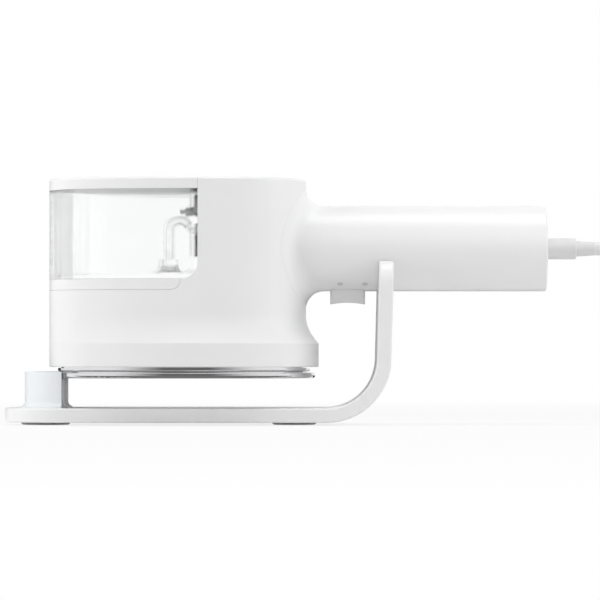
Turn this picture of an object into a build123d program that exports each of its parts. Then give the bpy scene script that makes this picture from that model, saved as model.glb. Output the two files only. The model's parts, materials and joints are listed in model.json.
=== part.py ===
from build123d import *
import math
import os

# A handheld garment steamer on its stand. Sizes are in millimetres. X runs from the front of the stand
# to the cord, Z is up, and the origin is under the middle of the object, on the surface it stands on.

# Driving lengths along X
front_overhang = 20.7  # stand ahead of the head
head_length = 120.7
handle_length = 112.8  # back of the head to the end of the handle
relief_barrel_length = 14.3
relief_tail_length = 8.5
skirt_back_reach = 6.0  # skirt behind the back of the head
bay_length = 70.7  # front of the head to the back wall of the tank bay
dock_length = 62.7  # front of the head to the end of the tank dock

# Driving widths and radii
strip_width = 61.0
head_width = 80.0
head_end_radius = 33.0
skirt_side_reach = 3.5  # skirt outside each side of the head
skirt_end_reach = 3.0  # added to the radius of the ends
handle_radius = 20.0
neck_fillet = 8.5
neck_half_width = 25.0
neck_half_height = 29.5

# Driving heights along Z
foot_height = 1.3
strip_thickness = 6.7
rest_height = 13.9  # top of the strip to the soleplate
soleplate_thickness = 2.6
trim_height = 2.6
skirt_height = 11.0
flare_height = 13.0
body_height = 77.2  # top of the skirt to the top of the head
shelf_rise = 29.8  # top of the skirt to the floor of the tank bay
dock_height = 5.0
cap_height = 5.6
handle_rise = 55.6  # underside of the skirt to the handle's axis

# Walls and fits
shell_wall = 2.2
top_edge_radius = 1.5
slip_gap = 0.3  # between parts that move past each other
seam_gap = 0.1  # between fixed shells
tank_back_gap = 0.1  # at the flat back of the tank, which only moves away from it
seat_gap = 0.1  # around fixed round parts
bore_gap = 0.05  # around screws
bore_end_gap = 0.5  # beyond a screw's tip

# Places that follow from these
skirt_length = head_length + skirt_back_reach
skirt_width = head_width + 2 * skirt_side_reach
skirt_end_radius = head_end_radius + skirt_end_reach
overall_length = front_overhang + head_length + handle_length + relief_barrel_length + relief_tail_length
x_stand_front = -overall_length / 2
x_head_front = x_stand_front + front_overhang
x_head_back = x_head_front + head_length
x_handle_end = x_head_back + handle_length
x_barrel_end = x_handle_end + relief_barrel_length
x_relief_end = x_barrel_end + relief_tail_length
x_bay = x_head_front + bay_length
x_dock_end = x_head_front + dock_length
x_skirt = x_head_front + skirt_length / 2
z_strip = foot_height + strip_thickness
z_plate = z_strip + rest_height
z_trim = z_plate + soleplate_thickness
z_skirt = z_trim + trim_height
z_body = z_skirt + skirt_height
z_flare = z_body + flare_height
z_top = z_body + body_height
z_shelf = z_body + shelf_rise
z_dock = z_shelf - dock_height
z_axis = z_skirt + handle_rise

# Stand
bend_centre_back = 9.65  # bend centre behind the head
bend_radius = 30.0  # outside of the bend
arm_lean = 1.5  # degrees
strip_edge_radius = 0.8
prong_drop = 6.2  # tips of the prongs below the handle's axis
prong_corner_radius = 10.0
foot_recess = 1.0
foot_edge = 0.8  # slope round the lower edge
front_foot_radius = 11.6
front_foot_place = 19.0  # from the stand's front end
rear_foot_radius = 10.5
rear_foot_place = 135.9
rest_radius = 21.3
rest_inner_radius = 17.5
rest_lip = 3.0  # the crescent's wall above the soleplate's underside
rest_foot_flare = 2.6
rest_foot_height = 3.7
rest_foot_edge = 0.4
rest_tip_place = 27.6  # from the stand's front end
pad_face_place = 28.6
pad_flare = 2.0
foot_hollow_share = (0.3, 0.35)  # of the flare and its height, where the hollow passes
rest_screw_angle = 15.0
screw_radius = 1.25
screw_head_radius = 2.2
screw_head_height = 1.7
rest_screw_length = 14.0

# Soleplate and heater, as insets from the skirt's outline
soleplate_inset = 1.7
trim_inset = 4.1
chamber_inset = 9.0
chamber_flange_inset = 7.0
skirt_wall = 2.4
skirt_lip_thickness = 2.0
skirt_edge_chamfer = 0.5
gasket_thickness = 1.5
soleplate_lower_radius = 1.2
soleplate_upper_radius = 0.3
trim_edge_radius = 0.7
trim_groove_height = 0.5  # the dark lines above and below the trim's band
trim_groove_depth = 1.5
steam_hole_radius = 1.2
steam_hole_rings = [(42.0, 21.0, 18), (24.0, 9.0, 10)]  # half length, half width, count
chamber_height = 15.9  # above the skirt's underside
steam_room_inset = 14.0
steam_room_height = 6.5
heater_radius = 3.3
heater_height = 10.4  # axis above the skirt's underside
heater_half_width = 18.0
heater_front_margin = 20.35  # from the ends of the skirt
heater_rear_margin = 23.35
heater_terminal_height = 25.0
heater_bend = 8.0
thermostat_radius = 8.0
thermostat_height = 8.0
thermostat_place = -22.0  # from the skirt's centre
fuse_radius = 2.2
fuse_length = 12.0
fuse_place = -40.0

# Water tank
tank_wall = 2.2
tank_floor = 2.6
tank_back_wall = 3.6
tank_corner_radius = 7.4
dock_corner_radius = 4.4
port_rise = 23.8  # above the floor of the tank bay
port_seal_radius = 2.9
port_seal_depth = 2.4
hose_barb_radius = 1.5
hose_barb_bore = 0.9
intake_barb_length = 3.6
intake_barb_root = 2.6  # sunk into the back wall
intake_barb_slope = 50.0  # degrees, upwards
intake_hose_radius = 2.0
intake_drop_place = 14.0  # hose's lower leg ahead of the bay's back wall
weight_radius = 6.3
weight_neck_radius = 3.8
weight_height = 7.0
weight_skirt_height = 4.6
weight_rim_height = 0.8
weight_hollow_share = 0.3  # of the flare, where the hollow passes
weight_hollow_rise = 1.6
filler_flange_height = 9.8
filler_flange_width = 20.0
filler_flange_thickness = 1.7
filler_flange_recess = 1.0
filler_rise = 34.8  # above the floor of the tank bay
filler_neck_radius = 2.0
filler_neck_drop = 2.6
filler_neck_reach = 3.0  # into the tank
filler_stub_radius = 0.95
filler_stub_reach = 5.5
grip_pad_size = (1.4, 16.0, 9.8)
grip_pad_recess = 1.2
grip_pad_rise = 15.9

# Pump
nipple_radius = 2.0
nipple_bore = 0.9
nipple_flange_radius = 4.5
nipple_flange_thickness = 1.5
nipple_elbow_place = 9.9  # behind the bay's back wall
hose_radius = 2.75
hose_overlap = 4.0
pump_place = 24.9  # behind the bay's back wall
pump_radius = 5.0
pump_bore = 3.2
pump_bore_length = 24.0
pump_roof_thickness = 2.0
pump_seat_thickness = 7.5
pump_neck_radius = 4.0
pump_neck_length = 5.5
pump_collar_radius = 8.0
pump_collar_height = 2.5
coil_radius = 11.0
coil_drop = 2.5  # below the piston's seat
coil_height = 24.0
bracket_thickness = 1.5
bracket_half_width = 11.0
bracket_height = 22.0
bracket_boss_length = 3.0
bracket_boss_radius = 3.0
bracket_boss_spread = 7.0
bracket_boss_rise = 15.5  # above the coil's underside
bracket_screw_length = 4.0
piston_radius = 3.1
piston_length = 14.0
piston_hole = 0.8
pump_spring_radius = 2.4
pump_spring_wire = 0.35
pump_spring_turns = 7
inlet_base_radius = 4.0
inlet_base_height = 3.0

# Handle
handle_wall = 2.2
handle_edge_radius = 0.8
end_cap_thickness = 3.0
button_length = 16.3
button_width = 11.0
button_corner_radius = 2.0
button_place = 19.6  # behind the head
button_reach = 6.2  # below the handle
button_dish_depth = 0.9
button_edge_radius = 0.6
button_flange_radius = 9.6
button_flange_low = 14.5  # below the handle's axis
button_flange_thickness = 1.5
button_stem_radius = 2.5
button_travel = 3.0
tray_low = 5.0  # below the handle's axis
tray_thickness = 2.0
tray_half_width = 16.5
tray_start = 9.0  # behind the head
tray_end = 6.0  # ahead of the handle's end
switch_size = 6.0
switch_height = 3.5
switch_plunger_radius = 1.6
switch_plunger_height = 0.8
button_spring_radius = 5.7
button_spring_wire = 0.4
button_spring_turns = 4
board_start = 38.0  # behind the head
board_end = 12.8  # ahead of the handle's end
board_width = 26.0
board_thickness = 1.6
board_edge = 4.0  # standoffs from the edges
board_wire_reach = 8.0  # wires over the ends
standoff_height = 2.0
standoff_radius = 2.2
relay_size = (19.0, 15.0, 10.0)
relay_place = 15.0  # behind the board's front end
capacitor_radius = 5.0
capacitor_height = 12.0
capacitor_place = 18.0  # ahead of the board's rear end
lens_radius = 1.3
lens_angle = 57.0  # degrees below the handle's side
lens_places = [16.0, 27.6]  # behind the head
lens_depth = 2.4
relief_barrel_radius = 4.95
relief_tail_radius = 3.65
relief_neck_radius = 4.3
relief_flange_radius = 7.0
relief_flange_thickness = 2.0
relief_edge_radius = 0.6

# Inner wires
wire_radius = 1.1
mains_wire_spread = 2.3
pump_wire_spread = 2.6
heater_wire_spread = 7.0
heater_wire_bend = 7.0
heater_wire_turn = 2.0  # behind the head
heater_wire_drop = 16.0

# Cord
cord_radius = 3.1
bend_share = 0.45  # of the shorter straight run at a bend, taken up by the bend
cord_exit_run = 26.0
cord_slant_run = 21.0
cord_fall_run = 14.0
cord_slant_share = 0.2  # of the whole drop, in each slanting run
coil_outer_radius = 46.9
coil_pitch = 6.9
coil_turns_per_layer = 3.5
tie_thickness = 0.6
tie_width = 9.0
tie_corner_radius = 2.0
tie_slack = 0.9  # beside the turns
tie_lift = 0.9  # turns above the floor
tail_run = 13.0
tail_rise_run = 16.0
tail_drift = 1.5
plug_length = 32.0
plug_neck_length = 14.0
plug_width = 24.0
plug_height = 16.0
plug_neck_size = 10.0
plug_corner_radius = 4.0
pin_length = 17.0
pin_thickness = 1.5
pin_width = 6.3
pin_spread = 6.35
pin_set_in = 5.0


# General shapes

def rod(radius, start, end):
    """A round bar between two points."""
    axis = Vector(*end) - Vector(*start)
    return Plane(origin=start, z_dir=axis) * Cylinder(
        radius, axis.length, align=(Align.CENTER, Align.CENTER, Align.MIN)
    )


def pipe(radius, bore, start, end):
    """A round tube between two points."""
    return rod(radius, start, end) - rod(bore, start, end)


def block(low, high):
    """A box between two corners."""
    size = [b - a for a, b in zip(low, high)]
    middle = [(a + b) / 2 for a, b in zip(low, high)]
    return Pos(*middle) * Box(*size)


def oval(length, width, end_radius):
    """A face bounded by four tangent arcs, centred on the origin."""
    end_x = length / 2 - end_radius
    rise = width / 2 - end_radius
    side_drop = (end_x**2 - rise**2) / (2 * rise)
    share = end_radius / math.hypot(end_x, side_drop)
    x = end_x + share * end_x
    y = share * side_drop
    return make_face(
        [
            Edge.make_three_point_arc((x, y), (0, width / 2), (-x, y)),
            Edge.make_three_point_arc((-x, y), (-length / 2, 0), (-x, -y)),
            Edge.make_three_point_arc((-x, -y), (0, -width / 2), (x, -y)),
            Edge.make_three_point_arc((x, -y), (length / 2, 0), (x, y)),
        ]
    )


def skirt_oval(inset):
    """The skirt's outline moved inwards, about the skirt's centre."""
    return oval(skirt_length - 2 * inset, skirt_width - 2 * inset, skirt_end_radius - inset)


def skirt_plate(inset, low, high):
    """A plate with the skirt's outline moved inwards, between two heights."""
    return extrude(Pos(x_skirt, 0, low) * skirt_oval(inset), high - low)


def body_oval(spread, inset):
    """The head's outline, spread towards the skirt's outline (0 to 1) and moved inwards."""
    length = head_length + spread * (skirt_length - head_length) - 2 * inset
    width = head_width + spread * (skirt_width - head_width) - 2 * inset
    end_radius = head_end_radius + spread * (skirt_end_radius - head_end_radius) - inset
    return Pos(x_head_front + inset + length / 2, 0, 0) * oval(length, width, end_radius)


def body_volume(inset, high):
    """The head from the top of the skirt up, with its hollow flare, moved inwards."""
    steps = 4
    sections = [
        Pos(0, 0, z_body + flare_height * i / steps) * body_oval((1 - i / steps) ** 2, inset)
        for i in range(steps + 1)
    ]
    return loft(sections) + extrude(Pos(0, 0, z_flare) * body_oval(0, inset), high - z_flare)


def round_lower_back(solid, radius):
    """Rounds the lower back edge, which runs along Y."""
    edge = solid.edges().filter_by(Axis.Y).sort_by(lambda e: e.center().X - e.center().Z)[-1]
    return fillet(edge, radius)


def bay_block(x_back, z_floor, corner_radius):
    """The space of the tank bay, up to a back wall and down to a floor."""
    low = (x_head_front - head_width, -head_width, z_floor)
    high = (x_back, head_width, z_top + head_width)
    return round_lower_back(block(low, high), corner_radius)


def dock_block(inset):
    """The space of the tank dock, with a rounded lower back edge, moved inwards."""
    low = (x_head_front - head_width, -head_width, z_dock + inset)
    high = (x_dock_end - inset, head_width, z_shelf)
    return round_lower_back(block(low, high), dock_corner_radius - inset)


def biarc(start, start_direction, end, end_direction):
    """Two arcs that join two points smoothly along two directions."""
    chord = end - start
    both = start_direction + end_direction
    a = 2 * (1 - start_direction.dot(end_direction))
    b = 2 * chord.dot(both)
    c = -chord.dot(chord)
    reach = -c / b if a < 1e-9 else (math.sqrt(b * b - 4 * a * c) - b) / (2 * a)
    middle = (start + end + (start_direction - end_direction) * reach) * 0.5
    first = Edge.make_tangent_arc(start, start_direction, middle)
    return [first, Edge.make_tangent_arc(middle, first.tangent_at(1), end)]


def wound_edges(place, quarters):
    """Arcs along a winding, a biarc for each quarter turn. place gives the point at a turn."""
    step = 1e-5
    stops = [i / 4 for i in range(quarters + 1)]
    points = [place(t) for t in stops]
    directions = [(place(t + step) - place(t - step)).normalized() for t in stops]
    edges = []
    for i in range(quarters):
        edges += biarc(points[i], directions[i], points[i + 1], directions[i + 1])
    return edges, directions


def tube_on(edges, radius):
    """A round tube swept along joined edges."""
    path = Wire(edges)
    return sweep(Plane(origin=path @ 0, z_dir=path % 0) * Circle(radius), path)


def spring(x, low, high, radius, wire, turns):
    """A round spring that stands between two heights."""
    rise = (high - low - 2 * wire - 2 * seat_gap) / turns

    def place(turn):
        angle = 2 * math.pi * turn
        height = low + wire + seat_gap + rise * turn
        return Vector(x + radius * math.cos(angle), radius * math.sin(angle), height)

    edges, _ = wound_edges(place, 4 * turns)
    return tube_on(edges, wire)


def bend_radii(points):
    """The radius at each inner point of a route, as large as its two runs allow."""
    radii = []
    for before, here, after in zip(points, points[1:], points[2:]):
        first = Vector(*here) - Vector(*before)
        second = Vector(*after) - Vector(*here)
        turn = math.radians(first.get_angle(second))
        radii.append(bend_share * min(first.length, second.length) / math.tan(turn / 2))
    return radii


def screw(place, direction, length):
    """A round-headed screw whose head ends at a place."""
    tip = Vector(*place) + Vector(*direction) * length
    outer = Vector(*place) - Vector(*direction) * screw_head_height
    return rod(screw_head_radius, tuple(outer), place) + rod(screw_radius, place, tuple(tip))


def mirrored_pair(solid):
    """A solid and its mirror image across the object's middle plane."""
    return Compound([solid, mirror(solid, Plane.XZ)])


# Stand

x_rest = x_stand_front + strip_width / 2
x_bend = x_head_back + bend_centre_back
z_bend = foot_height + bend_radius
z_prong = z_axis - prong_drop


def arm_end(radius):
    """Where a face of the arm leaves the bend, and where it reaches the prongs' height."""
    lean = math.radians(arm_lean)
    x = x_bend + radius * math.cos(lean)
    z = z_bend - radius * math.sin(lean)
    return (x, z), (x + (z_prong - z) * math.tan(lean), z_prong)


def bend_middle(radius):
    """A point half way round the bend."""
    angle = math.radians(45 + arm_lean / 2)
    return x_bend + radius * math.cos(angle), z_bend - radius * math.sin(angle)


def strip_side():
    """The strip seen from the side."""
    inner_radius = bend_radius - strip_thickness
    outer_low, outer_high = arm_end(bend_radius)
    inner_low, inner_high = arm_end(inner_radius)
    edges = [
        Edge.make_line((x_stand_front, foot_height), (x_bend, foot_height)),
        Edge.make_three_point_arc((x_bend, foot_height), bend_middle(bend_radius), outer_low),
        Edge.make_line(outer_low, outer_high),
        Edge.make_line(outer_high, inner_high),
        Edge.make_line(inner_high, inner_low),
        Edge.make_three_point_arc(inner_low, bend_middle(inner_radius), (x_bend, z_strip)),
        Edge.make_line((x_bend, z_strip), (x_stand_front, z_strip)),
        Edge.make_line((x_stand_front, z_strip), (x_stand_front, foot_height)),
    ]
    return Plane.XZ * make_face(edges)


foot_places = [
    (x_stand_front + front_foot_place, front_foot_radius),
    (x_stand_front + rear_foot_place, rear_foot_radius),
]
rest_screw_places = [
    (
        x_rest - (rest_radius + rest_inner_radius) / 2 * math.cos(math.radians(angle)),
        (rest_radius + rest_inner_radius) / 2 * math.sin(math.radians(angle)),
    )
    for angle in (-rest_screw_angle, rest_screw_angle)
]
z_foot_top = foot_height + foot_recess
z_screw_head = z_foot_top + screw_head_height
z_rest_bore = z_screw_head + rest_screw_length + bore_end_gap


def make_stand_strip():
    strip = extrude(strip_side(), strip_width / 2, both=True)
    tips = strip.edges().filter_by(Axis.X).group_by(Axis.Z)[-1]
    round_end = rod(strip_width / 2, (x_rest, 0, 0), (x_rest, 0, z_top))
    long_side = block((x_rest, -strip_width / 2, 0), (x_handle_end, strip_width / 2, z_top))
    strip = fillet(tips, prong_corner_radius) & (round_end + long_side)
    rims = [
        e
        for e in strip.edges().filter_by(Axis.Y, reverse=True)
        if e.center().Z < z_prong - prong_corner_radius and e.length > strip_width / 2
    ]
    strip = fillet(rims, strip_edge_radius)
    notch = handle_radius + slip_gap
    strip -= rod(notch, (x_bend, 0, z_axis), (x_handle_end, 0, z_axis))
    for x, radius in foot_places:
        strip -= rod(radius + seat_gap, (x, 0, 0), (x, 0, z_foot_top))
    for x, y in rest_screw_places:
        strip -= rod(screw_head_radius + seat_gap, (x, y, 0), (x, y, z_screw_head))
        strip -= rod(screw_radius + bore_gap, (x, y, 0), (x, y, z_rest_bore))
    return strip


def make_front_rest():
    flare_radius = rest_radius + rest_foot_flare
    z_flare_edge = z_strip + rest_foot_edge
    z_flare_top = z_strip + rest_foot_height
    across, up = foot_hollow_share
    hollow = (rest_radius + across * rest_foot_flare, z_strip + up * rest_foot_height)
    z_wall = z_plate + rest_lip
    edges = [
        Edge.make_line((rest_inner_radius, z_strip), (flare_radius, z_strip)),
        Edge.make_line((flare_radius, z_strip), (flare_radius, z_flare_edge)),
        Edge.make_three_point_arc((flare_radius, z_flare_edge), hollow, (rest_radius, z_flare_top)),
        Edge.make_line((rest_radius, z_flare_top), (rest_radius, z_wall)),
        Edge.make_line((rest_radius, z_wall), (rest_inner_radius, z_wall)),
        Edge.make_line((rest_inner_radius, z_wall), (rest_inner_radius, z_strip)),
    ]
    ring = Pos(x_rest, 0, 0) * revolve(Plane.XZ * make_face(edges), Axis.Z)
    x_tip = x_stand_front + rest_tip_place
    rest = ring & block((x_stand_front, -strip_width, 0), (x_tip, strip_width, z_top))
    rest -= skirt_plate(soleplate_inset - slip_gap, z_plate, z_top)
    for x, y in rest_screw_places:
        rest -= rod(screw_radius + bore_gap, (x, y, 0), (x, y, z_rest_bore))
    return rest


def make_rest_pad():
    x_face = x_stand_front + pad_face_place
    x_flare = x_face + pad_flare
    z_flare_edge = z_strip + rest_foot_edge
    z_flare_top = z_strip + rest_foot_height
    across, up = foot_hollow_share
    hollow = (x_face + across * pad_flare, z_strip + up * rest_foot_height)
    edges = [
        Edge.make_line((x_stand_front, z_strip), (x_flare, z_strip)),
        Edge.make_line((x_flare, z_strip), (x_flare, z_flare_edge)),
        Edge.make_three_point_arc((x_flare, z_flare_edge), hollow, (x_face, z_flare_top)),
        Edge.make_line((x_face, z_flare_top), (x_face, z_plate)),
        Edge.make_line((x_face, z_plate), (x_stand_front, z_plate)),
        Edge.make_line((x_stand_front, z_plate), (x_stand_front, z_strip)),
    ]
    side = extrude(Plane.XZ * make_face(edges), strip_width / 2, both=True)
    return side & rod(rest_inner_radius - seat_gap, (x_rest, 0, 0), (x_rest, 0, z_top))


def make_stand_feet():
    feet = []
    for x, radius in foot_places:
        foot = rod(radius, (x, 0, 0), (x, 0, z_foot_top))
        feet.append(chamfer(foot.edges().sort_by(Axis.Z)[0], foot_edge))
    return Compound(feet)


def make_rest_screws():
    return Compound(
        [screw((x, y, z_screw_head), (0, 0, 1), rest_screw_length) for x, y in rest_screw_places]
    )


# Soleplate and heater

z_lip = z_skirt + skirt_lip_thickness
z_gasket = z_lip + gasket_thickness
z_chamber = z_skirt + chamber_height
z_heater = z_skirt + heater_height
x_terminal = x_skirt + skirt_length / 2 - heater_rear_margin
z_terminal = z_skirt + heater_terminal_height


def make_head_skirt():
    skirt = skirt_plate(0, z_skirt, z_body)
    skirt = chamfer(skirt.edges().group_by(Axis.Z)[0], skirt_edge_chamfer)
    skirt -= skirt_plate(skirt_wall, z_lip, z_body)
    return skirt - skirt_plate(chamber_inset - slip_gap, z_skirt, z_lip)


def make_trim_ring():
    band = skirt_plate(trim_inset, z_trim + trim_groove_height, z_skirt - trim_groove_height)
    band = fillet(band.edges().group_by(Axis.Z)[0], trim_edge_radius)
    ring = band + skirt_plate(trim_inset + trim_groove_depth, z_trim, z_skirt)
    return ring - skirt_plate(chamber_inset - seat_gap, z_trim, z_skirt)


def make_soleplate():
    plate = skirt_plate(soleplate_inset, z_plate, z_trim)
    plate = fillet(plate.edges().group_by(Axis.Z)[-1], soleplate_upper_radius)
    plate = fillet(plate.edges().group_by(Axis.Z)[0], soleplate_lower_radius)
    for half_length, half_width, count in steam_hole_rings:
        for i in range(count):
            angle = 2 * math.pi * (i + 0.5) / count
            x = x_skirt + half_length * math.cos(angle)
            y = half_width * math.sin(angle)
            plate -= rod(steam_hole_radius, (x, y, z_plate), (x, y, z_trim))
    return plate


def make_heat_gasket():
    ring = skirt_plate(chamber_flange_inset, z_lip, z_gasket)
    return ring - skirt_plate(chamber_inset - slip_gap, z_lip, z_gasket)


def heater_edges():
    x_front = x_skirt - skirt_length / 2 + heater_front_margin
    points = [
        (x_terminal, -heater_half_width, z_terminal),
        (x_terminal, -heater_half_width, z_heater),
        (x_front, -heater_half_width, z_heater),
        (x_front, heater_half_width, z_heater),
        (x_terminal, heater_half_width, z_heater),
        (x_terminal, heater_half_width, z_terminal),
    ]
    front_bend = heater_half_width - seat_gap
    return FilletPolyline(*points, radius=[heater_bend, front_bend, front_bend, heater_bend]).edges()


def make_heating_element():
    return tube_on(heater_edges(), heater_radius)


def make_steam_chamber():
    chamber = skirt_plate(chamber_inset, z_trim, z_gasket)
    chamber += skirt_plate(chamber_flange_inset, z_gasket, z_chamber)
    chamber -= skirt_plate(steam_room_inset, z_trim, z_trim + steam_room_height)
    chamber -= tube_on(heater_edges(), heater_radius + seat_gap)
    return chamber - rod(hose_barb_bore, (x_pump, 0, z_trim), (x_pump, 0, z_chamber))


def make_thermostat():
    x = x_skirt + thermostat_place
    return rod(thermostat_radius, (x, 0, z_chamber), (x, 0, z_chamber + thermostat_height))


def make_thermal_fuse():
    x = x_skirt + fuse_place
    z = z_chamber + fuse_radius
    body = rod(fuse_radius, (x, -fuse_length / 2, z), (x, fuse_length / 2, z))
    strap = block((x - fuse_radius, -fuse_radius, z_chamber), (x + fuse_radius, fuse_radius, z))
    return body + strap


# Head

head_form = body_volume(0, z_top)
head_form = fillet(head_form.edges().group_by(Axis.Z)[-1], top_edge_radius)
head_hollow = body_volume(shell_wall, z_top - shell_wall)
x_neck = x_head_back - head_end_radius
z_port = z_shelf + port_rise
x_pump = x_bay + pump_place
x_bay_inner = x_bay + shell_wall


def neck_zone(grow):
    """The space around the handle and its flared root, grown sideways."""
    plane = Plane(origin=(x_neck, 0, z_axis), x_dir=(0, 1, 0), z_dir=(1, 0, 0))
    return extrude(plane * Ellipse(neck_half_width + grow, neck_half_height + grow), overall_length)


def make_head_shell():
    bay_walls = bay_block(x_bay + shell_wall, z_shelf - shell_wall, tank_corner_radius + shell_wall)
    hollow = head_hollow - bay_walls
    shell = head_form - hollow - bay_block(x_bay, z_shelf, tank_corner_radius)
    shell -= dock_block(0)
    shell -= neck_zone(seam_gap)
    for y in (-bracket_boss_spread, bracket_boss_spread):
        start = (x_bay_inner, y, z_boss)
        end = (x_bay_inner + bracket_boss_length, y, z_boss)
        drill = (x_bay + shell_wall / 2, y, z_boss)
        shell += rod(bracket_boss_radius, start, end)
        shell -= rod(screw_radius + bore_gap, drill, end)
    return shell - rod(nipple_radius + seat_gap, (x_bay, 0, z_port), (x_bay_inner, 0, z_port))


def make_tank_dock():
    x_inner = x_dock_end - dock_corner_radius - shell_wall
    room = block((x_stand_front, -head_width, z_dock), (x_inner, head_width, z_shelf - shell_wall))
    return (head_form & dock_block(seam_gap)) - (head_hollow & room)


def make_handle_shell():
    stem = rod(handle_radius, (x_neck, 0, z_axis), (x_handle_end, 0, z_axis))
    stem = fillet(stem.edges().group_by(Axis.X)[-1], handle_edge_radius)
    whole = head_form + stem
    root = [
        e
        for e in whole.edges()
        if (e @ 0.5).X < x_head_back + 1
        and abs(math.hypot((e @ 0.5).Y, (e @ 0.5).Z - z_axis) - handle_radius) < 0.01
    ]
    shell = (fillet(root, neck_fillet) & neck_zone(0)) - head_hollow
    inner_radius = handle_radius - handle_wall
    shell -= rod(inner_radius, (x_bay, 0, z_axis), (x_handle_end, 0, z_axis))
    shell -= button_block(slip_gap, z_axis)
    for lens in lens_rods(lens_radius + bore_gap):
        shell -= lens
    return shell


# Handle

x_button = x_head_back + button_place
z_button = z_axis - handle_radius - button_reach
z_tray = z_axis - tray_low
z_switch = z_tray - switch_height
z_plunger = z_switch - switch_plunger_height
z_button_flange = z_axis - button_flange_low
z_button_flange_top = z_button_flange + button_flange_thickness
z_board = z_tray + tray_thickness + standoff_height
z_board_top = z_board + board_thickness
z_wire = z_board_top + wire_radius
x_board = x_head_back + board_start
x_board_end = x_handle_end - board_end


def lens_rods(radius):
    """The indicator lenses, set square into the near side of the handle."""
    angle = math.radians(lens_angle)
    out = Vector(0, -math.cos(angle), -math.sin(angle))
    rods = []
    for place in lens_places:
        middle = Vector(x_head_back + place, 0, z_axis)
        outer = tuple(middle + out * handle_radius)
        inner = tuple(middle + out * (handle_radius - lens_depth))
        rods.append(rod(radius, inner, outer))
    return rods


def make_indicator_lenses():
    return Compound(lens_rods(lens_radius))


def button_block(grow, high):
    """The button's rounded block from its lower face up, grown sideways."""
    length = button_length + 2 * grow
    width = button_width + 2 * grow
    outline = RectangleRounded(length, width, button_corner_radius + grow)
    return extrude(Pos(x_button, 0, z_button) * outline, high - z_button)


def make_steam_button():
    dish_radius = ((button_length / 2) ** 2 + button_dish_depth**2) / (2 * button_dish_depth)
    z_dish = z_button + button_dish_depth - dish_radius
    z_flange_top = z_button_flange_top
    button = button_block(0, z_flange_top)
    button = fillet(button.edges().group_by(Axis.Z)[0], button_edge_radius)
    button += rod(button_flange_radius, (x_button, 0, z_button_flange), (x_button, 0, z_flange_top))
    z_stem = z_plunger - button_travel - seat_gap
    button += rod(button_stem_radius, (x_button, 0, z_flange_top), (x_button, 0, z_stem))
    return button - rod(dish_radius, (x_button, -button_width, z_dish), (x_button, button_width, z_dish))


def make_button_spring():
    low = z_button_flange_top
    return spring(x_button, low, z_tray, button_spring_radius, button_spring_wire, button_spring_turns)


def make_handle_tray():
    x_start = x_head_back + tray_start
    x_end = x_handle_end - tray_end
    low = (x_start, -tray_half_width, z_tray)
    high = (x_end, tray_half_width, z_tray + tray_thickness)
    tray = block(low, high)
    reach = board_width / 2 - board_edge
    for x in (x_board + board_edge, x_board_end - board_edge):
        for y in (-reach, reach):
            tray += rod(standoff_radius, (x, y, z_tray + tray_thickness), (x, y, z_board))
    return tray


def make_control_board():
    half = board_width / 2
    board = block((x_board, -half, z_board), (x_board_end, half, z_board_top))
    relay_length, relay_width, relay_height = relay_size
    x_relay = x_board + relay_place
    relay = block(
        (x_relay, -relay_width / 2, z_board_top),
        (x_relay + relay_length, relay_width / 2, z_board_top + relay_height),
    )
    x_capacitor = x_board_end - capacitor_place
    capacitor = rod(
        capacitor_radius, (x_capacitor, 0, z_board_top), (x_capacitor, 0, z_board_top + capacitor_height)
    )
    return Compound([board, relay, capacitor])


def make_tact_switch():
    half = switch_size / 2
    body = block((x_button - half, -half, z_switch), (x_button + half, half, z_tray))
    return body + rod(switch_plunger_radius, (x_button, 0, z_plunger), (x_button, 0, z_switch))


def make_handle_end_cap():
    radius = handle_radius - handle_wall - seat_gap
    x_inner = x_handle_end - end_cap_thickness
    hole = relief_neck_radius + bore_gap
    return pipe(radius, hole, (x_inner, 0, z_axis), (x_handle_end, 0, z_axis))


def make_strain_relief():
    x_inner = x_handle_end - end_cap_thickness
    x_flange = x_inner - relief_flange_thickness
    barrel = rod(relief_barrel_radius, (x_handle_end, 0, z_axis), (x_barrel_end, 0, z_axis))
    barrel = fillet(barrel.edges().group_by(Axis.X)[-1], relief_edge_radius)
    tail = Cone(
        relief_tail_radius, cord_radius, relief_tail_length, align=(Align.CENTER, Align.CENTER, Align.MIN)
    )
    relief = barrel + Plane(origin=(x_barrel_end, 0, z_axis), z_dir=(1, 0, 0)) * tail
    relief += rod(relief_neck_radius, (x_inner, 0, z_axis), (x_handle_end, 0, z_axis))
    return relief + rod(relief_flange_radius, (x_flange, 0, z_axis), (x_inner, 0, z_axis))


def make_mains_leads():
    x_start = x_board_end - board_wire_reach
    x_end = x_handle_end - end_cap_thickness - relief_flange_thickness
    lead = rod(wire_radius, (x_start, mains_wire_spread, z_wire), (x_end, mains_wire_spread, z_wire))
    return mirrored_pair(lead)


def make_pump_leads():
    x_start = x_pump + math.sqrt(coil_radius**2 - (pump_wire_spread - wire_radius) ** 2)
    x_end = x_board + board_wire_reach
    lead = rod(wire_radius, (x_start, pump_wire_spread, z_wire), (x_end, pump_wire_spread, z_wire))
    return mirrored_pair(lead)


def make_heater_leads():
    points = [
        (x_board + board_wire_reach, heater_wire_spread, z_wire),
        (x_head_back + heater_wire_turn, heater_wire_spread, z_wire),
        (x_terminal, heater_half_width, z_wire - heater_wire_drop),
        (x_terminal, heater_half_width, z_terminal),
    ]
    return mirrored_pair(tube_on(FilletPolyline(*points, radius=heater_wire_bend).edges(), wire_radius))


# Pump

x_elbow = x_bay + nipple_elbow_place
z_hose_end = z_port + nipple_radius
z_barb_top = z_hose_end + hose_overlap
z_pump_shoulder = z_hose_end - pump_neck_length
z_pump_roof = z_pump_shoulder - pump_roof_thickness
z_pump_seat = z_pump_roof - pump_bore_length
z_pump_low = z_pump_seat - pump_seat_thickness
z_coil = z_pump_seat - coil_drop
z_boss = z_coil + bracket_boss_rise


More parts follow.
